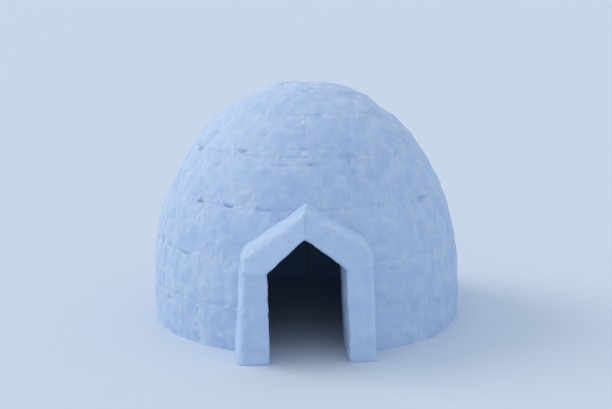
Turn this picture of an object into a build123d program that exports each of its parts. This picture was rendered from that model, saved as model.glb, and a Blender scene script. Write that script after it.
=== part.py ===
"""A small snow igloo: a dome of leaning snow blocks with a gabled entrance porch.

The blocks stand in courses on beds that slope down towards the inside, so that each one leans
in on the course below, and a round key block closes the crown. Two lower courses stop at the
doorway, and the third crosses it with a pair of blocks that lean on each other. Outside the
doorway stands a short porch of four snow slabs, two upright and two leaning together.

Frame: millimetres, +Z up, entrance facing -Y, origin on the ground at the middle of the
footprint. The dome's own axis stands a little behind the origin, because the porch projects.
"""

from build123d import *
from math import asin, cos, degrees, radians, sin
import os

# Dome
dome_radius = 1200.0  # outside of the wall at the ground
dome_height = 1830.0  # ground to the outside of the crown
wall_thickness = 200.0  # of the blocks, in every course
plumb_height = 350.0  # foot of the wall, which stands plumb
flank_turn = 42.5  # degrees that the wall leans in by, where the flank's arc meets the crown's
key_radius = 190.0  # outside radius of the key block in the crown

# Courses
lower_courses = 2  # between the ground and the eaves of the doorway
lower_blocks = 7  # in a lower course, from one side of the doorway to the other
upper_blocks = (8, 8, 6, 3)  # in each full ring from the eaves up
upper_turns = (0.0, 22.5, 0.0, 30.0)  # heading of the first joint of each ring, from the doorway

# Doorway. Its slabs were cut by hand, so the two sides differ, and each is measured from the ridge.
ridge_offset = -130.0  # ridge line, to one side of the dome's axis
door_foot_left = 257.0
door_foot_right = 313.0
door_eaves_left = 274.0
door_eaves_right = 284.0
eaves_height = 664.0  # top of the left upright slab, where the slope of the doorway begins
eaves_rise = 16.0  # by which the right upright slab is taller
door_apex = 907.0

# Outside of the porch
porch_depth = 180.0  # front of the porch, beyond the outside of the dome
porch_foot_left = 492.0
porch_foot_right = 517.0
shoulder_left = 443.0
shoulder_right = 476.0
shoulder_height_left = 790.0  # where the outer slope would meet the side
shoulder_height_right = 835.0
shoulder_round_left = 75.0
shoulder_round_right = 160.0
ridge_height = 1093.0
front_round = 42.0  # worn outer edges round the front of the porch
mouth_round = 14.0  # sharper edges round the mouth of the doorway

# Worked out from the dimensions above
lean_out, lean_up = cos(radians(flank_turn)), sin(radians(flank_turn))
arc_gap = (dome_height - plumb_height - dome_radius) / (lean_out + lean_up - 1)
flank_reach = arc_gap * lean_out  # centre of the flank's arc, beyond the dome's axis
flank_radius = dome_radius + flank_reach
crown_centre = plumb_height + arc_gap * lean_up
crown_radius = dome_height - crown_centre
middle_radius = dome_radius - wall_thickness / 2
dome_back = porch_depth / 2  # dome axis behind the origin
dome_foot = Vector(0, dome_back, 0)
dome_axis = Axis(dome_foot, (0, 0, 1))
front_distance = dome_radius + porch_depth
eaves_height_right = eaves_height + eaves_rise
door_heading = degrees(asin(ridge_offset / middle_radius))

os.makedirs("parts", exist_ok=True)


def save(piece, name):
    """Labels a finished piece and writes it to its own file."""
    piece.part.label = name
    export_step(piece.part, f"parts/{name}.step")


def heading_plane(heading):
    """Upright plane through the dome's axis, with local x pointing out at a heading.

    Heading 0 is the ridge line of the doorway, and headings grow counter-clockwise from above.
    """
    angle = radians(door_heading + heading)
    return Plane(dome_foot, x_dir=(sin(angle), -cos(angle), 0), z_dir=(-cos(angle), -sin(angle), 0))


def meridian(inset):
    """The line of the wall from the ground to the crown, at a depth into its thickness."""
    foot_radius = dome_radius - inset
    Line((foot_radius, 0), (foot_radius, plumb_height))
    CenterArc((-flank_reach, plumb_height), flank_radius - inset, 0, flank_turn)
    CenterArc((0, crown_centre), crown_radius - inset, flank_turn, 90 - flank_turn)


with BuildLine() as outside:
    meridian(0)
outside_line = outside.wire()


def length_to_height(height):
    """Distance up the outside of the wall from the ground to a height on its foot or flank."""
    if height <= plumb_height:
        return height
    return plumb_height + flank_radius * asin((height - plumb_height) / flank_radius)


def bed_line(length):
    """Ends of a bed joint, square to the wall at a distance up its outside and past both faces."""
    point = outside_line.position_at(length, position_mode=PositionMode.LENGTH)
    along = outside_line.tangent_at(length, position_mode=PositionMode.LENGTH)
    outward = Vector(along.Y, -along.X)
    return point + outward * wall_thickness, point - outward * 2 * wall_thickness


with BuildSketch() as wall_section:
    with BuildLine():
        meridian(0)
        meridian(wall_thickness)
        Line((dome_radius - wall_thickness, 0), (dome_radius, 0))
        Line((0, dome_height - wall_thickness), (0, dome_height))
    make_face()

# The space that the dome fills, with its room
with BuildPart() as dome_outside:
    with BuildSketch(heading_plane(0)):
        with BuildLine():
            meridian(0)
            Polyline((0, dome_height), (0, 0), (dome_radius, 0))
        make_face()
    revolve(axis=dome_axis)


def gable(foot_left, corner_left, apex, corner_right, foot_right):
    """Outline of a gable that stands on the ground, with its corners measured from the ridge."""
    Polyline(
        (ridge_offset - foot_left, 0),
        (ridge_offset - corner_left[0], corner_left[1]),
        (ridge_offset, apex),
        (ridge_offset + corner_right[0], corner_right[1]),
        (ridge_offset + foot_right, 0),
        close=True,
    )


def door_outline():
    """Outline of the doorway's mouth."""
    gable(
        door_foot_left,
        (door_eaves_left, eaves_height),
        door_apex,
        (door_eaves_right, eaves_height_right),
        door_foot_right,
    )


# The space of the doorway, from the front of the porch to the middle of the dome
porch_front = Plane.XZ.offset(front_distance - dome_back)
with BuildPart() as doorway:
    with BuildSketch(porch_front):
        with BuildLine():
            door_outline()
        make_face()
    extrude(amount=-front_distance)


def course_section(lower_length, upper_length):
    """Cross-section of one course of blocks, between two bed joints."""
    lower_out, lower_in = bed_line(lower_length)
    upper_out, upper_in = bed_line(upper_length)
    with BuildSketch() as section:
        add(wall_section.sketch)
        with BuildLine():
            Polyline(lower_in, lower_out, upper_out, upper_in, close=True)
        make_face(mode=Mode.INTERSECT)
    return section.sketch


def snow_block(section, start, end, cut_by_doorway=False):
    """One block of a course, between two headings."""
    with BuildPart() as block:
        with BuildSketch(heading_plane(start)):
            add(section)
        revolve(axis=dome_axis, revolution_arc=end - start)
        if cut_by_doorway:
            add(doorway.part, mode=Mode.SUBTRACT)
    return block


# Courses beside the doorway. Every other one starts with a short block, to break the joints.
eaves_length = length_to_height(eaves_height)
door_turn = degrees(asin(door_foot_right / middle_radius))
lower_pitch = (360 - 2 * door_turn) / lower_blocks
for course in range(lower_courses):
    section = course_section(
        eaves_length * course / lower_courses, eaves_length * (course + 1) / lower_courses
    )
    starts_short = (lower_courses - course) % 2 == 0
    first_joint = door_turn + lower_pitch * (0.5 if starts_short else 1)
    joint_count = lower_blocks if starts_short else lower_blocks - 1
    joints = [0] + [first_joint + lower_pitch * i for i in range(joint_count)] + [360]
    for number, (start, end) in enumerate(zip(joints, joints[1:]), start=1):
        beside_door = number in (1, len(joints) - 1)
        save(snow_block(section, start, end, beside_door), f"course_{course + 1}_block_{number}")

# Full rings, from the eaves to the key block
key_length = outside_line.length - crown_radius * asin(key_radius / crown_radius)
ring_rise = (key_length - eaves_length) / len(upper_blocks)
for ring, (count, turn) in enumerate(zip(upper_blocks, upper_turns)):
    section = course_section(eaves_length + ring_rise * ring, eaves_length + ring_rise * (ring + 1))
    for number in range(count):
        start = turn + 360 / count * number
        over_door = ring == 0 and number in (0, count - 1)
        name = f"course_{lower_courses + ring + 1}_block_{number + 1}"
        if over_door:
            name = "door_arch_block_right" if number == 0 else "door_arch_block_left"
        save(snow_block(section, start, start + 360 / count, over_door), name)

# Key block
with BuildPart() as key_block:
    with BuildSketch(heading_plane(0)):
        add(wall_section.sketch)
        key_out, key_in = bed_line(key_length)
        with BuildLine():
            Polyline(key_in, key_out, (0, key_out.Y), (0, key_in.Y), close=True)
        make_face(mode=Mode.INTERSECT)
    revolve(axis=dome_axis)
save(key_block, "key_block")

# Porch, made whole with its worn edges, fitted to the dome and then parted into its four slabs
with BuildPart() as porch:
    with BuildSketch(porch_front) as front:
        with BuildLine():
            gable(
                porch_foot_left,
                (shoulder_left, shoulder_height_left),
                ridge_height,
                (shoulder_right, shoulder_height_right),
                porch_foot_right,
            )
        make_face()
        for corner, rounding in ((1, shoulder_round_left), (-2, shoulder_round_right)):
            fillet(front.vertices().sort_by(Axis.X)[corner], rounding)
        with BuildLine():
            door_outline()
        make_face(mode=Mode.SUBTRACT)
    extrude(amount=-front_distance)
    front_edges = porch.faces().sort_by(Axis.Y)[0].edges()
    fillet(front_edges.filter_by(lambda edge: edge.distance_to(doorway.part) > mouth_round), front_round)
    front_edges = porch.faces().sort_by(Axis.Y)[0].edges()
    mouth_edges = front_edges.filter_by(lambda edge: edge.distance_to(doorway.part) < mouth_round)
    fillet(mouth_edges - mouth_edges.group_by(Axis.Z)[0], mouth_round)
    add(dome_outside.part, mode=Mode.SUBTRACT)

for side, side_kept, jamb_height in (
    ("left", Keep.BOTTOM, eaves_height),
    ("right", Keep.TOP, eaves_height_right),
):
    for slab_name, level_kept in (("porch_jamb", Keep.BOTTOM), ("porch_roof_slab", Keep.TOP)):
        with BuildPart() as slab:
            add(porch.part)
            split(bisect_by=Plane.YZ.offset(ridge_offset), keep=side_kept)
            split(bisect_by=Plane.XY.offset(jamb_height), keep=level_kept)
        save(slab, f"{slab_name}_{side}")
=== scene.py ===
"""Dresses the snow igloo: carved snow for every block and slab, and the studio it stands in.

The blocks of the dome are modelled again as bricks of the same courses, and the slabs of the porch
are worked over, with the relief that a snow knife and the weather leave. Distances are in metres.
"""

from math import atan2, cos, hypot, pi, radians, sin

import bpy
import numpy as np
from bpy.props import FloatProperty, FloatVectorProperty, PointerProperty
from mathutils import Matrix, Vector, noise


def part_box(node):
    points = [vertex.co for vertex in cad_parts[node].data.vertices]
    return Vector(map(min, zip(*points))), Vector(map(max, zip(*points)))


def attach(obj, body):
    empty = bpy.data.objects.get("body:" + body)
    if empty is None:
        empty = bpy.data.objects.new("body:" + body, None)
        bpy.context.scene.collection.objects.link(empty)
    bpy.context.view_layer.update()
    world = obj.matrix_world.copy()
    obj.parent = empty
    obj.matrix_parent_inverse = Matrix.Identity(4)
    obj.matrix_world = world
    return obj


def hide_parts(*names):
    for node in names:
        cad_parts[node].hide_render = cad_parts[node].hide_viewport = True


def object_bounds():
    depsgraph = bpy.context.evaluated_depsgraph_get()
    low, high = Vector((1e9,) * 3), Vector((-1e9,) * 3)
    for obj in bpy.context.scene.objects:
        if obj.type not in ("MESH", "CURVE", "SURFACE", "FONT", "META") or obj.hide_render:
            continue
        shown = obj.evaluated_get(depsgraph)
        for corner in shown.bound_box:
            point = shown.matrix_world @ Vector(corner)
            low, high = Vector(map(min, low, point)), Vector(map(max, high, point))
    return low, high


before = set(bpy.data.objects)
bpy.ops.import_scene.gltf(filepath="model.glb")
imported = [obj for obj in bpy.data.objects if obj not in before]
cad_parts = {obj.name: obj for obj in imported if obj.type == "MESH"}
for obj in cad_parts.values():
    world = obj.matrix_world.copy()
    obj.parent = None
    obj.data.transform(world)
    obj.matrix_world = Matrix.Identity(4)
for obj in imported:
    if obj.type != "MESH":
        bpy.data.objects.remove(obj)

bl_info = {
    "name": "Snow igloo",
    "version": (1, 0, 0),
    "blender": (4, 5, 0),
    "location": "View3D > Sidebar > Igloo",
    "description": "Carved snow blocks, porch slabs, snow finish and studio for a snow igloo",
    "category": "Object",
}

CAD_BOX = [list(corner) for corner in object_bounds()]
KEY_LOW, KEY_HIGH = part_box("key_block")
JAMB_LEFT, JAMB_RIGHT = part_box("porch_jamb_left"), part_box("porch_jamb_right")
ROOF_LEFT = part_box("porch_roof_slab_left")
COURSES = sorted({name.split("_block_")[0]
                  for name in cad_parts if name.startswith("course_")})
ON_FACE = 0.001  # how near a solid's point lies to a face that it counts as being on


def distance(name, description, default):
    """A length that a user may change."""
    return FloatProperty(name=name, description=description, default=default, unit="LENGTH")


def colour(name, description, default):
    """A colour that a user may change."""
    return FloatVectorProperty(name=name, description=description, default=default,
                               subtype="COLOR", size=3, min=0, max=1)


class IglooShape(bpy.types.PropertyGroup):
    """Sizes of the dome's wall and of the relief carved into the snow."""

    dome_radius: distance("Dome radius", "Outside of the wall at the ground", CAD_BOX[1][0])
    dome_height: distance("Dome height", "Ground to the outside of the crown", CAD_BOX[1][2])
    dome_back: distance(
        "Dome axis", "Distance of the dome's axis behind the origin", (KEY_LOW.y + KEY_HIGH.y) / 2)
    wall_thickness: distance("Wall thickness", "Thickness of the blocks", 0.2)
    plumb_height: distance("Plumb foot", "Height of the part of the wall that stands plumb", 0.35)
    flank_turn: FloatProperty(
        name="Flank turn", description="Lean of the wall where the flank meets the crown",
        default=radians(42.5), subtype="ANGLE")
    grid: distance("Grid", "Spacing of the points on a block's faces", 0.0095)
    slab_grid: distance("Slab grid", "Spacing of the points on a porch slab", 0.008)
    swell: distance("Swell", "Height of the broad unevenness of the shaved wall", 0.009)
    strokes: distance("Knife strokes", "Height of the long strokes of the snow knife", 0.0035)
    lumps: distance("Lumps", "Height of the hand-sized lumps on the wall", 0.009)
    crumbs: distance("Crumbs", "Height of the crumbs that cling to the wall", 0.0016)
    joint_depth: distance("Joint depth", "Depth of a joint where it is least filled", 0.009)
    joint_width: distance("Joint width", "Half width of the hollow along a joint", 0.011)
    joint_dip: distance("Joint dip", "Depth of the broad shallow dip along every joint", 0.0035)
    packing: distance("Packing", "Height of the loose snow pressed into the joints", 0.016)
    front_turn: FloatProperty(
        name="Front turn",
        description="How far the porch's front falls back for each metre from its ridge",
        default=0.035)
    ridge_skew: distance(
        "Ridge skew", "How far to the right the porch's ridge ends at the dome", 0.032)
    ridge_start: distance(
        "Ridge start", "How far to the left the porch's ridge starts in front", 0.011)
    block_lean: distance(
        "Block step", "How far a block's corner stands in or out of its neighbours", 0.004)
    slab_overlap: distance(
        "Slab overlap", "How far the packed snow of a porch joint fills in past it", 0.006)


class IglooFinish(bpy.types.PropertyGroup):
    """Colours of the snow, and of the shade and highlights painted on it."""

    shaved_snow: colour("Shaved snow", "Clean shaved snow", (0.47, 0.61, 0.81))
    packed_snow: colour("Packed snow", "Denser, bluer patches", (0.385, 0.525, 0.765))
    fresh_snow: colour(
        "Fresh snow", "Rime and fresh grains that cling to the wall", (0.57, 0.68, 0.82))
    # Also the colour of the painted highlights along the porch's front edges, and of the painted
    # light on the left roof slab's front
    cut_snow_and_highlight: colour(
        "Cut snow", "Clean cut faces and worn edges of the porch slabs", (0.58, 0.71, 0.92))
    # Painted shade: the colour towards which open joints and pits are darkened, deeper pits more
    painted_hollow_shade: colour("Hollows", "Snow down in joints and pits", (0.24, 0.37, 0.64))
    # Painted shade: the dark of the dim inside, laid on the dome's inside face and in the
    # doorway's reveal
    room_painted_shade: colour("Room snow", "Glazed snow of the inside face", (0.26, 0.38, 0.58))


class IglooStage(bpy.types.PropertyGroup):
    """The floor, the light and the camera."""

    floor_colour: colour("Floor", "Colour of the studio floor", (0.61, 0.69, 0.79))
    floor_size: distance("Floor size", "Radius of the floor", 60.0)
    sky_colour: colour("Sky", "Colour of the soft light from all round", (0.83, 0.89, 1.0))
    sky_strength: FloatProperty(
        name="Sky strength", description="Level of the soft light from all round", default=0.86)
    backdrop_colour: colour(
        "Backdrop", "Colour that the camera sees beyond the floor", (0.69, 0.78, 0.88))
    glow_colour: colour("Glow", "Colour of the broad light from the back left", (1.0, 0.91, 0.76))
    glow_strength: FloatProperty(
        name="Glow strength", description="Level of the broad light from the back left",
        default=1.18)
    glow_spread: FloatProperty(
        name="Glow spread", description="Width of the broad light, as seen from the igloo",
        default=radians(35), subtype="ANGLE")
    glow_direction: FloatVectorProperty(
        name="Glow direction", description="Way in which the broad light shines",
        subtype="DIRECTION", size=3, default=(0.78, -0.30, -0.62))
    camera_distance: distance("Camera distance", "Dome axis to the camera, level", 10.8)
    camera_height: distance("Camera height", "Height of the camera", 3.2)
    camera_azimuth: FloatProperty(
        name="Camera azimuth", description="How far the camera stands round to the left",
        default=radians(5.5), subtype="ANGLE")
    camera_aim: distance("Camera aim", "Height on the dome's axis that the camera looks at", 0.86)
    camera_lens: FloatProperty(
        name="Lens", description="Focal length", default=82.0, unit="CAMERA")


NOISE_SHIFT = (7.31, 3.17, 5.93)  # by which each seed moves the noise


def noise_at(places, size, seed):
    """Smooth noise in about -1..1 at each place, with features of a size."""
    shift = Vector([seed * step for step in NOISE_SHIFT])
    return np.array([noise.noise(Vector(place) + shift) for place in np.asarray(places) / size])


def layered(places, layers):
    """Layers of noise on top of each other, each given by its height, size and seed."""
    return sum(height * noise_at(places, size, seed) for height, size, seed in layers)


def smooth_step(low, high, value):
    """0 below low, 1 above high, and an S-shaped ramp between them."""
    ramp = np.clip((value - low) / (high - low), 0, 1)
    return ramp * ramp * (3 - 2 * ramp)


def patches(places, size, seed, low, high):
    """0 to 1 in patches of a size, rising where the noise passes from low to high."""
    return smooth_step(low, high, noise_at(places, size, seed))


def fade(away, width):
    """1 on a line and next to nothing twice a width away from it."""
    return np.exp(-(away / width) ** 2)


def at_least(least, share):
    """A share from 0 to 1, lifted so that it starts from the least one."""
    return least + (1 - least) * share


def node_points(node):
    """Places of a CAD node's points, as an array."""
    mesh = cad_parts[node].data
    places = np.empty(len(mesh.vertices) * 3)
    mesh.vertices.foreach_get("co", places)
    return places.reshape(-1, 3)


class Doorway:
    """The opening's outline, upright sides and two slopes, read from the porch's solids.

    Side -1 is the left one and 1 the right one.
    """

    rounded_front = 0.05  # depth of the porch that its rounded front edges take up
    hand = 0.10  # distance from the opening over which the wall may begin to stray

    def __init__(self):
        self.ridge = ROOF_LEFT[1].x
        self.heading = self.ridge / CAD_BOX[1][0]
        self.front = min(JAMB_LEFT[0].y, JAMB_RIGHT[0].y)
        roof = self.behind_front("porch_roof_slab_left")
        self.apex = roof[abs(roof[:, 0] - self.ridge) < ON_FACE][:, 2].min()
        self.eaves = {-1: JAMB_LEFT[1].z, 1: JAMB_RIGHT[1].z}
        self.foot_x = {side: self.inner_x(side, 0.0) for side in (-1, 1)}
        self.eaves_x = {side: self.inner_x(side, self.eaves[side]) for side in (-1, 1)}

    def behind_front(self, node):
        """A porch slab's points behind its rounded front edges."""
        points = node_points(node)
        return points[points[:, 1] > self.front + self.rounded_front]

    def inner_x(self, side, level):
        """Place across of an upright slab's inner face, at a level where it has points."""
        points = self.behind_front("porch_jamb_left" if side < 0 else "porch_jamb_right")
        here = points[abs(points[:, 2] - level) < 2 * ON_FACE][:, 0]
        return here.max() if side < 0 else here.min()

    def side_x(self, side, height):
        """Place across of an upright side, at a height."""
        share = height / self.eaves[side]
        return self.foot_x[side] + (self.eaves_x[side] - self.foot_x[side]) * share

    def slope_height(self, x):
        """Height of the opening at a place across, or below the ground beyond its sides."""
        left = x < self.ridge
        eaves_x = np.where(left, self.eaves_x[-1], self.eaves_x[1])
        eaves = np.where(left, self.eaves[-1], self.eaves[1])
        share = (x - self.ridge) / (eaves_x - self.ridge)
        return np.where(share < 1, self.apex + (eaves - self.apex) * share, -1.0)

    def clearance(self, places):
        """0 at the opening's edge in the front wall, 1 a hand's breadth away or at the back."""
        x, y, z = places.T
        beside = np.maximum(self.side_x(-1, z) - x, x - self.side_x(1, z))
        within = np.clip(x, self.eaves_x[-1] + ON_FACE, self.eaves_x[1] - ON_FACE)
        over = z - self.slope_height(within)
        away = np.maximum(np.maximum(beside, over), 0)
        return np.where(y > 0, 1.0, smooth_step(0.0, self.hand, away))


DOORWAY = Doorway()


class Wall:
    """The dome's wall in its own terms: heading round the axis, length up the outside, depth.

    Heading 0 is straight to the front, and headings grow towards the right.
    """

    def __init__(self, shape):
        self.back = shape.dome_back
        self.thickness = shape.wall_thickness
        self.plumb = shape.plumb_height
        self.turn = shape.flank_turn
        out, up = cos(self.turn), sin(self.turn)
        gap = (shape.dome_height - self.plumb - shape.dome_radius) / (out + up - 1)
        self.flank_x = -gap * out
        self.flank_radius = shape.dome_radius + gap * out
        self.crown_z = self.plumb + gap * up
        self.crown_radius = shape.dome_height - self.crown_z
        self.flank_end = self.plumb + self.flank_radius * self.turn
        self.foot_radius = shape.dome_radius

    def point(self, heading, length, depth):
        """Places in the frame, for arrays of headings, lengths and depths."""
        flank = np.clip((length - self.plumb) / self.flank_radius, 0, self.turn)
        crown = np.clip((length - self.flank_end) / self.crown_radius, 0, None)
        lean = flank + crown
        on_crown = length > self.flank_end
        r = np.where(on_crown, self.crown_radius * np.cos(lean),
                     self.flank_x + self.flank_radius * np.cos(lean))
        z = np.where(on_crown, self.crown_z + self.crown_radius * np.sin(lean),
                     np.minimum(length, self.plumb) + self.flank_radius * np.sin(lean))
        r = r - depth * np.cos(lean)
        z = z - depth * np.sin(lean)
        return np.stack([r * np.sin(heading), self.back - r * np.cos(heading), z], -1)

    def terms(self, points):
        """Heading, length and depth of places in the frame."""
        x, y, z = points[:, 0], points[:, 1] - self.back, points[:, 2]
        r = np.hypot(x, y)
        heading = np.arctan2(x, -y)
        lean = np.arctan2(z - self.plumb, r - self.flank_x)
        lean_crown = np.arctan2(z - self.crown_z, r)
        on_crown = lean > self.turn
        below = z < self.plumb
        length = np.where(on_crown, self.flank_end + self.crown_radius * (lean_crown - self.turn),
                          self.plumb + self.flank_radius * lean)
        depth = np.where(on_crown, self.crown_radius - np.hypot(r, z - self.crown_z),
                         self.flank_radius - np.hypot(r - self.flank_x, z - self.plumb))
        return (heading, np.where(below, z, length),
                np.where(below, self.foot_radius - r, depth))


# How far the joints stray aside and up, in layers of noise: height, size of the features, seed
STRAY_ASIDE = [(0.015, 0.34, 1), (0.007, 0.09, 2)]
STRAY_UP = [(0.014, 0.30, 3), (0.007, 0.08, 4)]
STRAY_STARTS = 0.15  # length up the wall by which the joints stray up in full
NEAR_AXIS = 0.02  # radius below which a stray aside turns the heading no further


def wander(wall, heading, length):
    """How far hand-cut joints stray aside and up from their true lines, in metres."""
    places = wall.point(heading, length, 0 * length)
    aside, up = layered(places, STRAY_ASIDE), layered(places, STRAY_UP)
    free = DOORWAY.clearance(places)
    return aside * free, up * free * smooth_step(0.0, STRAY_STARTS, length)


def strayed(wall, heading, length, amount=1.0):
    """Headings and lengths with the joints' wander added, and the distance to the dome's axis."""
    outside = wall.point(heading, length, 0 * length)
    radius = np.hypot(outside[:, 0], outside[:, 1] - wall.back)
    aside, rise = wander(wall, heading, length)
    turn = amount * aside / np.maximum(radius, NEAR_AXIS)
    return heading + turn, length + amount * rise, radius


# Areas of the wall that are worked in their own way: heading of the middle, and half width
LEFT_FLANK = (radians(-62), radians(24))
RIGHT_FLANK = (radians(60), radians(28))
OVER_PORCH = (DOORWAY.heading, radians(16))
KEY_EDGE = (1.95, 2.24)  # lengths between which what follows a heading dies out
CROWN_RAMP = (1.5, 2.1)  # lengths between which the wall is worked as the crown is
BACK_RAMP = (-0.5, 0.3)  # the same for the back, in dome radii behind the axis
CROWN_ALIKE = 0.8  # how much the back of the crown is worked like its front


def below_crown(length):
    """1 on the wall, 0 on the key block, for what can't follow a heading across the crown."""
    return 1 - smooth_step(*KEY_EDGE, length)


def near_area(area, heading):
    """1 in the middle of an area of the wall, fading out beyond its half width."""
    middle, half_width = area
    return fade(heading - middle, half_width)


# Knife strokes: how far they bend, their size, and where they are worked
STROKE_SWEEP = [(0.10, 0.55, 23)]
STROKE_WIDTH, STROKE_LENGTH = 0.052, 0.42
STROKE_SEED = 7
STROKE_PATCHES = (0.50, 24, -0.25, 0.35)
RIDGE_WIDTH = 0.10  # of the ridge between two strokes, in the stroke's own noise
RIDGE_HEIGHT = 0.45  # of that ridge, in the same terms


def knife_strokes(places, heading, length, radius):
    """Long slightly curved strokes, in patches and all over the left flank, and their ridges."""
    sweep = layered(places, STROKE_SWEEP)
    along = np.stack([(heading * radius + sweep) / STROKE_WIDTH,
                      (length + sweep) / STROKE_LENGTH, 0 * length], -1)
    stroke = noise_at(along, 1.0, STROKE_SEED)
    here = np.maximum(patches(places, *STROKE_PATCHES), near_area(LEFT_FLANK, heading))
    here = here * below_crown(length)
    ridge = np.clip(1 - np.abs(stroke) / RIDGE_WIDTH, 0, 1)
    return here * (stroke - RIDGE_HEIGHT * ridge), here * ridge


def from_mark(mark_heading, mark_length, heading, length, radius):
    """How far each point of the wall lies beside and above a mark on it."""
    turn = (heading - radians(mark_heading) + pi) % (2 * pi) - pi
    return turn * radius, length - mark_length


# Broad bulges of the outline: heading in degrees, length up the wall, half width and half height
# of the area, and how far it stands out
BULGES = [(-104.0, 1.62, 0.35, 0.22, 0.016), (118.0, 2.12, 0.30, 0.22, 0.024)]


def bulges(heading, length, radius):
    """How far the broad bulges stand out at each point of the wall."""
    height = 0 * length
    for mark_heading, mark_length, half_width, half_height, most in BULGES:
        aside, above = from_mark(mark_heading, mark_length, heading, length, radius)
        height += most * np.exp(-(aside / half_width) ** 2 - (above / half_height) ** 2)
    return height


# Pits and scars: heading in degrees, length up the wall, half width, half height, depth
PITS = [
    (-54.0, 1.058, 0.030, 0.009, 0.028), (-38.0, 1.062, 0.044, 0.011, 0.030),
    (50.0, 1.062, 0.060, 0.015, 0.020), (-40.0, 1.500, 0.044, 0.011, 0.020),
    (-75.0, 1.440, 0.060, 0.014, 0.022), (62.5, 1.490, 0.050, 0.030, 0.016),
    (-1.8, 1.415, 0.045, 0.008, 0.014), (-15.5, 1.400, 0.050, 0.009, 0.012),
    (15.0, 1.470, 0.050, 0.022, 0.010), (45.0, 1.440, 0.045, 0.014, 0.014),
    (-8.5, 1.535, 0.090, 0.007, 0.008), (-30.0, 1.655, 0.030, 0.022, 0.008),
    (-55.0, 0.655, 0.026, 0.012, 0.018), (27.0, 0.602, 0.036, 0.012, 0.014),
    (-64.5, 0.270, 0.042, 0.012, 0.012), (-3.0, 2.215, 0.028, 0.020, 0.012),
    (-75.0, 0.560, 0.010, 0.240, 0.016), (97.0, 1.066, 0.060, 0.011, 0.022),
    (104.0, 1.052, 0.018, 0.012, 0.030), (139.0, 0.648, 0.022, 0.016, 0.018),
    (174.0, 1.470, 0.065, 0.010, 0.016), (-101.0, 0.672, 0.048, 0.013, 0.022),
    (-131.0, 1.060, 0.032, 0.018, 0.026), (-124.5, 1.030, 0.055, 0.026, 0.009),
    (157.0, 0.900, 0.040, 0.050, 0.008), (72.0, 0.345, 0.060, 0.016, 0.014),
    (-160.0, 1.885, 0.050, 0.010, 0.016), (116.0, 1.300, 0.012, 0.085, 0.012),
]
PIT_REACH = 4  # half widths within which a pit is worked
# How ragged a pit is aside, above and on its floor: share of its size there, and the noise
ASIDE_SHARE, PIT_ASIDE = 0.9, (0.05, 14)
ABOVE_SHARE, PIT_ABOVE = 1.2, (0.034, 25)
FLOOR_SHARE, PIT_FLOOR = 0.7, (0.020, 26)
PIT_STEEPNESS = 1.4
PIT_DEPTH = 0.85  # share of the depth that the middle of a pit reaches
PIT_DARKEST_SHADE, FULL_SHADE_DEPTH = 0.45, 0.06  # most painted shade that a pit gets, and the depth at which it would reach 1


def dig_pits(cut, hollow_shade, places, heading, length, radius):
    """Digs each ragged pit and scar into the wall, and paints shade into it that grows with its
    depth.
    """
    for pit_heading, pit_length, half_width, half_height, depth in PITS:
        aside, above = from_mark(pit_heading, pit_length, heading, length, radius)
        near = (aside / half_width) ** 2 + (above / half_height) ** 2 < PIT_REACH ** 2
        if near.any():
            here = places[near]
            stray = ASIDE_SHARE * half_width * noise_at(here, *PIT_ASIDE)
            climb = ABOVE_SHARE * half_height * noise_at(here, *PIT_ABOVE)
            off = (((aside[near] + stray) / half_width) ** 2
                   + ((above[near] + climb) / half_height) ** 2)
            pit = np.exp(-off ** PIT_STEEPNESS) * (1 + FLOOR_SHARE * noise_at(here, *PIT_FLOOR))
            cut[near] += PIT_DEPTH * depth * pit
            pit_shade = min(PIT_DARKEST_SHADE, depth / FULL_SHADE_DEPTH)
            hollow_shade[near] = np.maximum(hollow_shade[near], pit_shade * pit)


# Joints of the wall. A pair that noise_at takes is the size of its features and its seed.
FILLING = (0.23, 11)
FILLING_RAMP = (0.0, 0.6)  # noise between which a joint goes from filled to open
BACK_OPEN = 0.35  # by which the back's joints are less filled
END_FILLED = 0.45  # by which the front's end joints are more filled than its beds
RAGGED_SHARE, RAGGED = 0.8, (0.045, 12)  # of a joint's width
BROKEN = (0.065, 32, -0.30, 0.15)  # short pieces into which an open joint breaks up
LEAST_BROKEN, LEAST_OPEN = 0.3, 0.14  # what is left of a joint where it is filled
DIP_WIDTH = 0.038
PACKED = (0.034, 13)
PACKED_FROM = 0.15  # noise above which loose snow clings in a joint
PACKED_WIDTH = 0.030


def wall_joints(shape, places, border, radial, behind):
    """How open the joint beside each point is, how packed it is and how deep that makes it."""
    open_here = smooth_step(*FILLING_RAMP, noise_at(places, *FILLING) + BACK_OPEN * behind)
    open_here = open_here * (1 - END_FILLED * radial * (1 - behind))
    width = shape.joint_width * (1 + RAGGED_SHARE * noise_at(places, *RAGGED))
    broken = at_least(LEAST_BROKEN, patches(places, *BROKEN))
    joint = fade(border, width) * at_least(LEAST_OPEN, open_here) * broken
    dip = fade(border, DIP_WIDTH) * (1 + behind)
    packing = np.clip(noise_at(places, *PACKED) - PACKED_FROM, 0, 1) * fade(border, PACKED_WIDTH)
    sunk = shape.joint_depth * joint + shape.joint_dip * dip - shape.packing * packing
    return joint, packing, sunk


# Relief of the open wall. The layers' heights are shares of the swell's and the lumps' own.
SWELL = [(1.0, 0.45, 5), (0.8, 0.17, 6)]
LUMPS = [(1.0, 0.105, 9), (0.5, 0.055, 10)]
CRUMBS, CRUMB_RANGE = (0.026, 27), (-0.1, 1)
ROUGH_PATCHES = (0.30, 8, -0.2, 0.35)
LEAST_ROUGH = 0.4
# How much more swell and roughness an area has than the rest, or less of them
MORE_SWELL = {"over_porch": -0.3, "right_flank": 0.8, "crown": 0.6}
MORE_ROUGH = {"over_porch": -0.35, "right_flank": 0.5}
# What shows in the finish: painted shade in the open joints, and stroke ridges and packed snow as
# fresh snow
JOINT_SHADE, RIDGE_FRESH, PACKED_FRESH, PACKED_SHOWS = 0.30, 0.55, 0.9, 2


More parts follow.
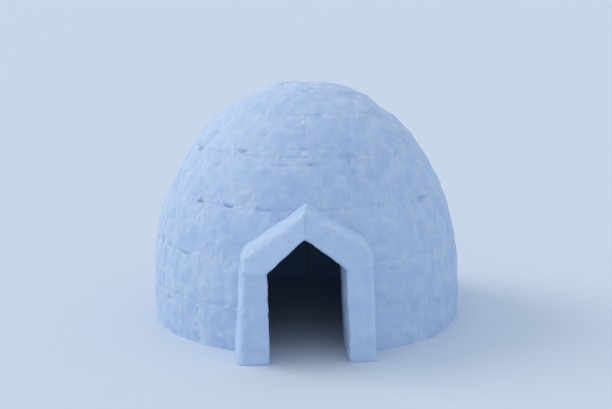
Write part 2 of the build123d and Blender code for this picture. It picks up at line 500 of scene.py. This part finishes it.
def wall_relief(wall, shape, heading, length, radius, border, radial):
    """How far the outside of a block is cut in at each point, how much painted shade its joints
    and pits get, and how fresh it is.
    """
    places = wall.point(heading, length, 0 * length)
    crown = smooth_step(*CROWN_RAMP, length)
    areas = {"over_porch": near_area(OVER_PORCH, heading) * below_crown(length),
             "right_flank": near_area(RIGHT_FLANK, heading) * below_crown(length),
             "crown": crown}
    behind = smooth_step(*BACK_RAMP, (places[:, 1] - wall.back) / wall.foot_radius)
    behind = behind * (1 - CROWN_ALIKE * crown)

    def grown(more):
        amount = 1.0
        for area, share in more.items():
            amount = amount + share * areas[area]
        return amount

    swell = shape.swell * layered(places, SWELL) * grown(MORE_SWELL)
    stroke, ridge = knife_strokes(places, heading, length, radius)
    rough = at_least(LEAST_ROUGH, patches(places, *ROUGH_PATCHES)) * grown(MORE_ROUGH)
    lumps = shape.lumps * rough * layered(places, LUMPS)
    crumbs = shape.crumbs * rough * np.clip(noise_at(places, *CRUMBS), *CRUMB_RANGE)
    joint, packing, sunk = wall_joints(shape, places, border, radial, behind)
    cut = swell + shape.strokes * stroke + lumps - crumbs - bulges(heading, length, radius)
    cut += sunk
    # Painted shade in the open joints; dig_pits adds it in the pits
    hollow_shade = JOINT_SHADE * joint
    dig_pits(cut, hollow_shade, places, heading, length, radius)
    fresh = RIDGE_FRESH * ridge + PACKED_FRESH * np.clip(packing * PACKED_SHOWS, 0, 1)
    return cut, np.clip(hollow_shade, 0, 1), np.clip(fresh, 0, 1)


def steps_for(length, grid):
    """Number of steps that divide a length at about the grid's spacing."""
    return max(2, round(length / grid))


def unit_grid(across, up):
    """Shares from 0 to 1 across and up a face, for every point of its grid."""
    grids = np.meshgrid(np.linspace(0, 1, across + 1), np.linspace(0, 1, up + 1))
    return (shares.ravel() for shares in grids)


def brick_faces(across, up, deep):
    """Quads of a brick, and the numbers of the points round its outer face.

    The points are numbered outer face first, then inner face, then the rings between them.
    """
    def outer(i, j):
        return j * (across + 1) + i

    count = (across + 1) * (up + 1)
    rim = ([(i, 0) for i in range(across)] + [(across, j) for j in range(up)]
           + [(i, up) for i in range(across, 0, -1)] + [(0, j) for j in range(up, 0, -1)])
    around = len(rim)

    def ring(k, w):
        k %= around
        if w == 0:
            return outer(*rim[k])
        if w == deep:
            return count + outer(*rim[k])
        return 2 * count + (w - 1) * around + k

    faces = []
    for j in range(up):
        for i in range(across):
            quad = (outer(i, j), outer(i + 1, j), outer(i + 1, j + 1), outer(i, j + 1))
            if (2 * i < across) != (2 * j < up):
                quad = quad[1:] + quad[:1]  # so that it is parted towards the nearest corner
            faces.append(quad)
            faces.append(tuple(count + v for v in reversed(quad)))
    for w in range(deep):
        for k in range(around):
            faces.append((ring(k, w), ring(k, w + 1), ring(k + 1, w + 1), ring(k + 1, w)))
    return faces, np.array([outer(*place) for place in rim])


def crisp_rim(mesh, rim):
    """Keeps the outer edge of a block crisp, so that a filled joint runs level across it."""
    on_rim = np.zeros(len(mesh.vertices), bool)
    on_rim[rim] = True
    ends = np.empty(len(mesh.edges) * 2, int)
    mesh.edges.foreach_get("vertices", ends)
    mesh.edges.foreach_set("use_edge_sharp", on_rim[ends].reshape(-1, 2).all(1))


def paint(mesh, name, values):
    """Stores one number for each point of a mesh, for its material to read."""
    layer = mesh.attributes.new(name, "FLOAT", "POINT")
    layer.data.foreach_set("value", np.broadcast_to(np.float32(values), len(mesh.vertices)))


def set_inputs(node, values):
    """Sets inputs of a shader node to plain values."""
    for name, value in values.items():
        node.inputs[name].default_value = value


def make_snow(name, finish, fresh_cut_and_highlight):
    """Snow, from broad density patches down to crumbs, with painted shade down in joints and pits,
    on the inside face and in the reveal, and painted highlights on the porch's edges.
    """
    material = bpy.data.materials.new(name)
    material.use_nodes = True
    tree = material.node_tree
    tree.nodes.clear()

    def node(kind, **values):
        made = tree.nodes.new(kind)
        for key, value in values.items():
            setattr(made, key, value)
        return made

    def link(start, end):
        tree.links.new(start, end)

    out = node("ShaderNodeOutputMaterial")
    snow = node("ShaderNodeBsdfPrincipled")
    link(snow.outputs["BSDF"], out.inputs["Surface"])
    set_inputs(snow, {"Roughness": 0.72, "Specular IOR Level": 0.25, "Subsurface Weight": 0.25,
                      "Subsurface Radius": (0.6, 0.8, 1.0), "Subsurface Scale": 0.012})

    place = node("ShaderNodeTexCoord").outputs["Object"]

    def cloud(scale, detail, roughness):
        made = node("ShaderNodeTexNoise")
        set_inputs(made, {"Scale": scale, "Detail": detail, "Roughness": roughness})
        link(place, made.inputs["Vector"])
        return made.outputs["Fac"]

    def ramp(value, low, high):
        made = node("ShaderNodeMapRange")
        set_inputs(made, {"From Min": low, "From Max": high})
        link(value, made.inputs["Value"])
        return made.outputs["Result"]

    def blend(amount, first, second):
        made = node("ShaderNodeMix", data_type="RGBA")
        link(amount, made.inputs["Factor"])
        for value, socket in ((first, made.inputs["A"]), (second, made.inputs["B"])):
            if isinstance(value, bpy.types.NodeSocket):
                link(value, socket)
            else:
                socket.default_value = (*value, 1)
        return made.outputs["Result"]

    def attribute(key):
        return node("ShaderNodeAttribute", attribute_name=key).outputs["Fac"]

    def bumped(under, strength, height, scale, detail, roughness):
        made = node("ShaderNodeBump")
        set_inputs(made, {"Strength": strength, "Distance": height})
        link(cloud(scale, detail, roughness), made.inputs["Height"])
        if under:
            link(under, made.inputs["Normal"])
        return made.outputs["Normal"]

    broad = blend(ramp(cloud(2.6, 4, 0.55), 0.38, 0.64), finish.packed_snow, finish.shaved_snow)
    mottled = blend(ramp(cloud(7, 3, 0.6), 0.40, 0.64), broad, finish.shaved_snow)
    block = blend(attribute("dense"), mottled, finish.packed_snow)
    rimed = blend(ramp(cloud(11, 5, 0.62), 0.48, 0.80), block, finish.fresh_snow)
    # On the porch this also paints highlights on the front's edges and lightens the left roof
    # slab's front as painted light
    base = blend(attribute("worn"), rimed, fresh_cut_and_highlight)
    # Painted shade on the inside face and in the reveal
    with_inside_shade = blend(attribute("inside_shade"), base, finish.room_painted_shade)
    # Painted shade down in open joints and pits
    link(blend(attribute("hollow_shade"), with_inside_shade, finish.painted_hollow_shade), snow.inputs["Base Color"])

    grains = bumped(None, 0.3, 0.004, 150, 4, 0.65)
    crumbs = bumped(grains, 0.35, 0.010, 34, 3, 0.55)
    link(crumbs, snow.inputs["Normal"])
    return material


def snow_finish(slot):
    """The snow of the dome or of the porch, made the first time it is asked for."""
    name = "carved_" + slot
    finish = bpy.context.scene.igloo_finish
    fresh_cut_and_highlight = finish.cut_snow_and_highlight if slot == "porch_snow" else finish.fresh_snow
    return bpy.data.materials.get(name) or make_snow(name, finish, fresh_cut_and_highlight)


def finish_piece(mesh, node, slot):
    """Links a modelled piece in place of its node, with its finish and a smooth surface."""
    piece = bpy.data.objects.new(node + "_snow", mesh)
    bpy.context.scene.collection.objects.link(piece)
    mesh.materials.clear()
    mesh.materials.append(snow_finish(slot))
    mesh.shade_smooth()
    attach(piece, "root")
    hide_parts(node)


# Steps through a block's thickness, and where the doorway cuts it
SIDE_STEPS, DOOR_SIDE_STEPS = 3, 12
STEP_BLEND = 0.015  # width of the rim in which a block comes level with its neighbours
STEP_SHARE = 0.5  # of the block as a whole, beside the lean of its corners
DENSEST_BLOCK = 0.5
ROOM_FACE = [(0.006, 0.16, 15), (0.003, 0.05, 16)]
ROOM_JOINT_DEPTH, ROOM_JOINT_WIDTH = 0.005, 0.016
MOUTH_ASIDE, MOUTH_UP = [(0.004, 0.08, 17)], [(0.004, 0.08, 18)]
OFF_GROUND = 0.02  # height above which the mouth's sides may be uneven upwards
KEY_STRAY = 0.12  # width of the ring of the key block that follows the straying joint


def seed_of(node):
    """A seed of a piece's own, from its name."""
    return sum(ord(letter) * place for place, letter in enumerate(node, start=3))


def model_block(node, wall, shape, steps, face_at, border, radial, at_door):
    """Makes a block's mesh from its two faces and the sides between, with its carved relief."""
    deep = DOOR_SIDE_STEPS if at_door else SIDE_STEPS
    faces, rim = brick_faces(*steps, deep)
    u, v = unit_grid(*steps)
    heading, length, radius = face_at(0.0)
    cut, hollow_shade, fresh = wall_relief(wall, shape, heading, length, radius, border, radial)
    rng = np.random.default_rng(seed_of(node))
    step, lean_aside, lean_up = rng.uniform(-1, 1, 3) * shape.block_lean
    inset = STEP_SHARE * step + lean_aside * (u - 0.5) + lean_up * (v - 0.5)
    cut += inset * smooth_step(0.0, STEP_BLEND, border)
    outer = wall.point(heading, length, cut)

    heading, length, _ = face_at(wall.thickness)
    rough = layered(wall.point(heading, length, 0 * length + wall.thickness), ROOM_FACE)
    rough -= ROOM_JOINT_DEPTH * fade(border, ROOM_JOINT_WIDTH)
    inner = wall.point(heading, length, wall.thickness + rough)

    shares = [w / deep for w in range(1, deep)]
    rings = [outer[rim] * (1 - share) + inner[rim] * share for share in shares]
    points = np.concatenate([outer, inner, *rings])
    if at_door:
        at_mouth = 1 - DOORWAY.clearance(points)
        points[:, 0] += layered(points, MOUTH_ASIDE) * at_mouth
        points[:, 2] += layered(points, MOUTH_UP) * at_mouth * (points[:, 2] > OFF_GROUND)
    points[:, 2] = np.maximum(points[:, 2], 0)
    mesh = bpy.data.meshes.new(node + "_snow")
    mesh.from_pydata(points.tolist(), [], faces)
    crisp_rim(mesh, rim)
    depths = [np.zeros(len(outer)), np.ones(len(inner)), np.repeat(shares, len(rim))]
    plain = np.zeros(len(points) - len(outer))
    # Painted shade on the inside face, growing through the wall's thickness
    paint(mesh, "inside_shade", np.concatenate(depths) ** 2)
    # Painted shade in the open joints and pits
    paint(mesh, "hollow_shade", np.concatenate([hollow_shade, plain]))
    paint(mesh, "worn", np.concatenate([fresh, plain]))
    paint(mesh, "dense", rng.uniform(0, DENSEST_BLOCK))
    finish_piece(mesh, node, "dome_snow")


def block_extent(wall, node):
    """Headings and lengths between which a block's outside lies, read from its solid."""
    points = node_points(node)
    heading, length, depth = wall.terms(points)
    outside = depth < ON_FACE
    middle = points[outside].mean(0)
    centre = atan2(middle[0], wall.back - middle[1])
    turn = (heading[outside] - centre + pi) % (2 * pi) - pi
    return centre + turn.min(), centre + turn.max(), length[outside].min(), length[outside].max()


def build_block(node, wall, shape, trim=None):
    """Models one block of a course, between its headings and beds."""
    low_heading, high_heading, low, high = block_extent(wall, node)
    middle_radius = hypot(*wall.point(0.0, (low + high) / 2, 0.0)[:2] - (0, wall.back))
    across = steps_for((high_heading - low_heading) * middle_radius, shape.grid)
    up = steps_for(high - low, shape.grid)
    u, v = unit_grid(across, up)

    def face_at(depth):
        heading = low_heading + (high_heading - low_heading) * u
        length = low + (high - low) * v
        if trim:
            heading, length = trim(heading, length, depth, v)
        return strayed(wall, heading, length)

    heading, length, radius = face_at(0.0)
    row_headings = heading.reshape(up + 1, across + 1)
    row_lengths = length.reshape(up + 1, across + 1)
    wide = np.repeat(row_headings[:, -1] - row_headings[:, 0], across + 1) * radius
    tall = np.tile(row_lengths[-1] - row_lengths[0], up + 1)
    stands_on_ground = low <= ON_FACE
    beside = np.minimum(u, 1 - u) * wide
    above = (1 - v) * tall if stands_on_ground else np.minimum(v, 1 - v) * tall
    border = np.minimum(beside, above)
    model_block(node, wall, shape, (across, up), face_at, border, beside < above, bool(trim))


def build_key_block(wall, shape):
    """Models the round key block, on a square grid drawn out to a disc."""
    edge = block_extent(wall, "key_block")[2]
    crown = wall.flank_end + wall.crown_radius * (pi / 2 - wall.turn)
    steps = steps_for(2 * (crown - edge), shape.grid)
    x, y = (2 * share - 1 for share in unit_grid(steps, steps))
    x, y = x * np.sqrt(1 - y * y / 2), y * np.sqrt(1 - x * x / 2)
    heading, length = np.arctan2(x, -y), crown - (crown - edge) * np.hypot(x, y)
    near_edge = 1 - smooth_step(0.0, KEY_STRAY, length - edge)

    def face_at(depth):
        return strayed(wall, heading, length, near_edge)

    model_block("key_block", wall, shape, (steps, steps), face_at, length - edge, False, False)


def mouth_end(wall, side):
    """Ends a block of a lower course at the upright side of the doorway."""
    def trim(heading, length, depth, v):
        places = wall.point(heading, length, depth + 0 * length)
        radius = np.hypot(places[:, 0], places[:, 1] - wall.back)
        end = np.arcsin(DOORWAY.side_x(side, places[:, 2]) / radius)
        start, stop = heading.min(), heading.max()
        share = (heading - start) / (stop - start)
        if side > 0:
            return end + (stop - end) * share, length
        return start + (end - start) * share, length

    return trim


HALVINGS = 24  # by which the place of a slope is closed in on


def mouth_top(wall):
    """Ends a block over the doorway, at its underside, on the slopes of the doorway."""
    def trim(heading, length, depth, v):
        low, high = length.min() + 0 * length, length.max() + 0 * length
        bed = low.copy()
        for _ in range(HALVINGS):
            middle = (low + high) / 2
            places = wall.point(heading, middle, depth + 0 * middle)
            in_opening = places[:, 2] < DOORWAY.slope_height(places[:, 0])
            low, high = np.where(in_opening, middle, low), np.where(in_opening, high, middle)
        start = wall.point(heading, bed, depth + 0 * bed)
        blocked = start[:, 2] < DOORWAY.slope_height(start[:, 0])
        base = np.where(blocked, high, bed)
        return heading, base + (length.max() - base) * v

    return trim


def remeshed(node, spacing):
    """A copy of a node's solid made of even small faces, with its places and normals."""
    work = bpy.data.objects.new(node + "_work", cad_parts[node].data.copy())
    bpy.context.scene.collection.objects.link(work)
    remesh = work.modifiers.new("Even faces", "REMESH")
    remesh.mode = "VOXEL"
    remesh.voxel_size = spacing
    worn = work.modifiers.new("Worn corners", "SMOOTH")
    worn.factor = 0.5
    worn.iterations = 4
    evaluated = work.evaluated_get(bpy.context.evaluated_depsgraph_get())
    even = bpy.data.meshes.new_from_object(evaluated)
    bpy.data.objects.remove(work)
    even.name = node + "_snow"
    places, normals = np.empty(len(even.vertices) * 3), np.empty(len(even.vertices) * 3)
    even.vertices.foreach_get("co", places)
    even.vertex_normals.foreach_get("vector", normals)
    return even, places.reshape(-1, 3), normals.reshape(-1, 3)


# The porch's ridge isn't square to its front. Ramps over which a roof slab comes to lie askew:
ASKEW_BEHIND = (0.03, 0.36)  # distance behind the front
ASKEW_OUTSIDE = (0.02, 0.16)  # distance above the opening's slope
ASKEW_HEIGHT = (0.70, 0.80)  # height, on the left slab
ASKEW_SPREAD = 0.30  # distance from the ridge, on the right slab
ASKEW_FRONT = 0.28  # distance from the ridge, in front
ASKEW_FOLLOWS = 0.4  # share by which the right slab's rear end goes back, to stay on the dome


def laid_askew(places, side, shape):
    """How far aside each point of a roof slab lies, because its ridge isn't square."""
    gap = np.abs(places[:, 0] - DOORWAY.ridge)
    rear = smooth_step(*ASKEW_BEHIND, places[:, 1] - DOORWAY.front)
    fall = (DOORWAY.apex - DOORWAY.eaves[side]) / abs(DOORWAY.eaves_x[side] - DOORWAY.ridge)
    outer = smooth_step(*ASKEW_OUTSIDE, places[:, 2] - DOORWAY.apex + fall * gap)
    spread = fade(gap, ASKEW_SPREAD) if side > 0 else smooth_step(*ASKEW_HEIGHT, places[:, 2])
    in_front = np.clip(1 - gap / ASKEW_FRONT, 0, 1) * (1 - rear)
    return shape.ridge_skew * outer * spread * rear - shape.ridge_start * in_front


# Relief of the porch slabs
SLAB_FACE = [(0.006, 0.24, 19), (0.0055, 0.095, 20), (0.0018, 0.035, 28)]
SLAB_OPEN = (0.10, 21, 0.05, 0.5)  # patches in which a joint is open
RIGHT_EAVES_OPEN = 0.25  # share of that on the joint at the right eaves
SLAB_LEAST_OPEN = 0.10  # what is left of a joint where it is filled
SLAB_RAGGED_SHARE, SLAB_RAGGED = 0.5, (0.04, 22)  # of a joint's width
SLAB_JOINT_SHARE = 0.5  # of the depth of the wall's joints
FILL_WIDTH = 0.012  # of the packed snow along a joint
EASE = 0.03  # distance from the ground or from a joint over which carving sets in
EDGE_CHIPS = [(0.011, 0.055, 30), (0.005, 0.15, 31)]
EDGE_BEHIND = (0.03, 0.08)  # distance behind the front over which the front's edges end
MOUTH_CRUMBLED = [(0.016, 0.050, 34), (0.008, 0.026, 35)]
MOUTH_SOUND = 0.001  # crumbling that doesn't show
MOUTH_FACING = (0.15, 0.6)  # how far a face is turned to the opening, to count as its side
MOUTH_BEHIND = (0.02, 0.10)  # distance behind the front over which the crumbling ends
TURN_BEHIND = (0.02, 0.16)  # distance behind the front over which its turn ends

# Finish of the porch slabs, with painted shade in the reveal and the joints and painted highlights
# on the front's edges
FRONT_FACING = (0.85, 0.98)  # how far a face is turned to the front, to count as the front
REVEAL_BEHIND, REVEAL_SHADE = (0.05, 0.25), 0.04
SLAB_JOINT_SHADE, EDGE_HIGHLIGHT, SLAB_RIME_SHARE, SLAB_RIME = 0.22, 0.45, 0.3, (0.07, 29)
SLAB_DENSE = 0.4
# How clean and how dense the front of each slab is, as its own tone; the left roof slab's front is
# also painted lighter and the right one's darker, as painted light from the left
FRONT_TONE_AND_LIGHT = {"porch_jamb_left": (0.30, 0.6), "porch_jamb_right": (0.30, 0.6),
                "porch_roof_slab_left": (0.70, 0.0), "porch_roof_slab_right": (0.25, 0.3)}


def carve_slab(node, shape):
    """Works over one slab of the porch, with its joints packed and its edges worn, painted shade
    in its joints and reveal, and painted highlights on its front's edges.
    """
    even, places, normals = remeshed(node, shape.slab_grid)
    side = -1 if node.endswith("left") else 1
    is_jamb = "_jamb_" in node
    behind = places[:, 1] - DOORWAY.front
    ridge_gap = np.abs(places[:, 0] - DOORWAY.ridge)
    eaves_gap = np.abs(places[:, 2] - DOORWAY.eaves[side])

    ridge_open = patches(places, *SLAB_OPEN)
    eaves_open = ridge_open * (RIGHT_EAVES_OPEN if side > 0 else 1.0)
    width = shape.joint_width * (1 + SLAB_RAGGED_SHARE * noise_at(places, *SLAB_RAGGED))
    at_ridge = fade(ridge_gap, width) * (1 - normals[:, 0] ** 2)
    at_eaves = fade(eaves_gap, width) * (1 - normals[:, 2] ** 2)
    joint = np.maximum(at_least(SLAB_LEAST_OPEN, ridge_open) * at_ridge,
                       at_least(SLAB_LEAST_OPEN, eaves_open) * at_eaves)
    cut = layered(places, SLAB_FACE) + SLAB_JOINT_SHARE * shape.joint_depth * joint
    cut = cut * smooth_step(0.0, EASE, places[:, 2])

    on_edge = 4 * normals[:, 1] ** 2 * (1 - normals[:, 1] ** 2)
    on_edge = on_edge * (1 - smooth_step(*EDGE_BEHIND, behind))
    on_edge *= smooth_step(0.0, EASE, np.minimum(eaves_gap, ridge_gap))
    cut += on_edge * np.clip(layered(places, EDGE_CHIPS), 0, 1)

    to_mouth = -side * normals[:, 0] if is_jamb else -normals[:, 2]
    at_mouth = smooth_step(*MOUTH_FACING, to_mouth) * (1 - smooth_step(*MOUTH_BEHIND, behind))
    at_mouth *= smooth_step(0.0, EASE, eaves_gap)
    cut += at_mouth * np.clip(layered(places, MOUTH_CRUMBLED) - MOUTH_SOUND, 0, 1)

    carved = places - normals * cut[:, None]
    carved[:, 1] += shape.front_turn * ridge_gap * (1 - smooth_step(*TURN_BEHIND, behind))
    across_eaves = fade(eaves_gap, FILL_WIDTH) * (1 if is_jamb else -1)
    carved[:, 2] += shape.slab_overlap * (1 - eaves_open) * across_eaves
    if not is_jamb:
        across_ridge = fade(ridge_gap, FILL_WIDTH)
        aside = laid_askew(places, side, shape)
        carved[:, 0] += aside - side * shape.slab_overlap * (1 - ridge_open) * across_ridge
        if side > 0:
            carved[:, 1] += ASKEW_FOLLOWS * np.maximum(aside, 0)
    carved[:, 2] = np.maximum(carved[:, 2], 0)
    even.vertices.foreach_set("co", carved.ravel())

    # Painted shade on faces turned into the opening, behind the front
    reveal_shade_mask = np.maximum(-side * normals[:, 0], 0) * smooth_step(*REVEAL_BEHIND, behind)
    front = smooth_step(*FRONT_FACING, -normals[:, 1])
    rime = np.clip(noise_at(places, *SLAB_RIME), 0, 1)
    front_clean_and_lit, front_dense_and_shade = FRONT_TONE_AND_LIGHT[node]
    # Lighter along the front's edges as a painted highlight, on each slab's front as its own tone
    # and as painted light, and in rime patches
    clean_and_highlight = EDGE_HIGHLIGHT * on_edge + front_clean_and_lit * front + SLAB_RIME_SHARE * rime
    # Painted shade in the reveal
    paint(even, "inside_shade", REVEAL_SHADE * reveal_shade_mask)
    # Painted shade in the open joints
    paint(even, "hollow_shade", SLAB_JOINT_SHADE * joint)
    paint(even, "worn", np.clip(clean_and_highlight, 0, 1))
    # Denser on each slab's front as its own tone; the right roof slab's front is painted darker
    # than the left one's as painted light
    paint(even, "dense", SLAB_DENSE + (front_dense_and_shade - SLAB_DENSE) * front)
    finish_piece(even, node, "porch_snow")


class IGLOO_OT_courses(bpy.types.Operator):
    """Models the blocks of every course of the dome"""

    bl_idname = "igloo.courses"
    bl_label = "Courses of blocks"

    eaves_slack = 0.05  # by which the top of a course beside the doorway may pass its eaves

    def execute(self, context):
        shape = context.scene.igloo_shape
        wall = Wall(shape)
        for course in COURSES:
            nodes = [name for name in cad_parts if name.startswith(course + "_block_")]
            nodes.sort(key=lambda name: int(name.rsplit("_", 1)[1]))
            course_top = block_extent(wall, nodes[0])[3]
            beside_door = course_top < DOORWAY.eaves[-1] + self.eaves_slack
            sides = {nodes[0]: 1, nodes[-1]: -1} if beside_door else {}
            for node in nodes:
                trim = mouth_end(wall, sides[node]) if node in sides else None
                build_block(node, wall, shape, trim)
        return {"FINISHED"}


class IGLOO_OT_door_arch(bpy.types.Operator):
    """Models the two blocks that lean on each other over the doorway"""

    bl_idname = "igloo.door_arch"
    bl_label = "Arch blocks over the doorway"

    def execute(self, context):
        shape = context.scene.igloo_shape
        wall = Wall(shape)
        for node in ("door_arch_block_left", "door_arch_block_right"):
            build_block(node, wall, shape, mouth_top(wall))
        return {"FINISHED"}


class IGLOO_OT_key_block(bpy.types.Operator):
    """Models the round block that closes the crown"""

    bl_idname = "igloo.key_block"
    bl_label = "Key block"

    def execute(self, context):
        shape = context.scene.igloo_shape
        build_key_block(Wall(shape), shape)
        return {"FINISHED"}


class IGLOO_OT_porch(bpy.types.Operator):
    """Works over the two upright slabs and the two roof slabs of the porch"""

    bl_idname = "igloo.porch"
    bl_label = "Porch slabs"

    def execute(self, context):
        for node in sorted(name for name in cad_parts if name.startswith("porch_")):
            carve_slab(node, context.scene.igloo_shape)
        return {"FINISHED"}


class IGLOO_OT_stage(bpy.types.Operator):
    """Sets the floor, the soft light and the camera"""

    bl_idname = "igloo.stage"
    bl_label = "Stage"

    floor_sides = 96

    def execute(self, context):
        stage = context.scene.igloo_stage
        self.lay_floor(context, stage)
        self.light(context, stage)
        self.aim(context, stage, context.scene.igloo_shape.dome_back)
        return {"FINISHED"}

    def lay_floor(self, context, stage):
        """Lays the round pale floor."""
        mesh = bpy.data.meshes.new("studio_floor")
        rim = [(stage.floor_size * cos(turn), stage.floor_size * sin(turn), 0)
               for turn in np.linspace(0, 2 * pi, self.floor_sides, endpoint=False)]
        mesh.from_pydata(rim, [], [tuple(range(len(rim)))])
        floor = bpy.data.objects.new("studio_floor", mesh)
        context.scene.collection.objects.link(floor)
        material = bpy.data.materials.new("studio_floor")
        material.use_nodes = True
        surface = material.node_tree.nodes["Principled BSDF"]
        set_inputs(surface, {"Base Color": (*stage.floor_colour, 1), "Roughness": 0.9,
                             "Specular IOR Level": 0.1})
        mesh.materials.append(material)

    def light(self, context, stage):
        """Sets the soft light from all round, the backdrop and the glow from the back left."""
        world = bpy.data.worlds.new("studio_sky")
        world.use_nodes = True
        tree = world.node_tree
        sky = tree.nodes["Background"]
        set_inputs(sky, {"Color": (*stage.sky_colour, 1), "Strength": stage.sky_strength})
        seen = tree.nodes.new("ShaderNodeBackground")
        set_inputs(seen, {"Color": (*stage.backdrop_colour, 1), "Strength": 1.0})
        ray = tree.nodes.new("ShaderNodeLightPath")
        mix = tree.nodes.new("ShaderNodeMixShader")
        tree.links.new(ray.outputs["Is Camera Ray"], mix.inputs["Fac"])
        tree.links.new(sky.outputs["Background"], mix.inputs[1])
        tree.links.new(seen.outputs["Background"], mix.inputs[2])
        tree.links.new(mix.outputs["Shader"], tree.nodes["World Output"].inputs["Surface"])
        context.scene.world = world
        sun = bpy.data.lights.new("back_left_glow", "SUN")
        sun.energy = stage.glow_strength
        sun.angle = stage.glow_spread
        sun.color = stage.glow_colour
        glow = bpy.data.objects.new("back_left_glow", sun)
        context.scene.collection.objects.link(glow)
        shines = Vector(stage.glow_direction)
        glow.rotation_euler = shines.to_track_quat("-Z", "Y").to_euler()

    def aim(self, context, stage, dome_back):
        """Stands the camera in front, a little to the left, and aims it at the dome's axis."""
        camera = bpy.data.cameras.new("front_view")
        camera.lens = stage.camera_lens
        view = bpy.data.objects.new("front_view", camera)
        context.scene.collection.objects.link(view)
        turn = stage.camera_azimuth
        place = Vector((-stage.camera_distance * sin(turn),
                        dome_back - stage.camera_distance * cos(turn), stage.camera_height))
        view.location = place
        target = Vector((0, dome_back, stage.camera_aim))
        view.rotation_euler = (target - place).to_track_quat("-Z", "Y").to_euler()
        context.scene.camera = view
        context.scene.view_settings.view_transform = "Standard"


OPERATORS = (IGLOO_OT_courses, IGLOO_OT_door_arch, IGLOO_OT_key_block, IGLOO_OT_porch,
             IGLOO_OT_stage)
GROUPS = {"igloo_shape": IglooShape, "igloo_finish": IglooFinish, "igloo_stage": IglooStage}


class IGLOO_PT_panel(bpy.types.Panel):
    """Igloo panel in the 3D view's sidebar"""

    bl_idname = "IGLOO_PT_panel"
    bl_label = "Snow igloo"
    bl_space_type = "VIEW_3D"
    bl_region_type = "UI"
    bl_category = "Igloo"

    def draw(self, context):
        for name in GROUPS:
            group = getattr(context.scene, name)
            box = self.layout.box()
            for key in group.__annotations__:
                box.prop(group, key)
        for operator in OPERATORS:
            self.layout.operator(operator.bl_idname)


def register():
    """Makes the sizes, the operators and the panel known to Blender."""
    for group in GROUPS.values():
        bpy.utils.register_class(group)
    for operator in OPERATORS:
        bpy.utils.register_class(operator)
    bpy.utils.register_class(IGLOO_PT_panel)
    for name, group in GROUPS.items():
        setattr(bpy.types.Scene, name, PointerProperty(type=group))


def unregister():
    """Takes them away again."""
    for name in GROUPS:
        delattr(bpy.types.Scene, name)
    for kind in (IGLOO_PT_panel, *OPERATORS, *GROUPS.values()):
        bpy.utils.unregister_class(kind)


def main():
    """Makes every piece in order."""
    register()
    bpy.ops.igloo.courses()
    bpy.ops.igloo.door_arch()
    bpy.ops.igloo.key_block()
    bpy.ops.igloo.porch()
    bpy.ops.igloo.stage()


if __name__ == "__main__":
    main()
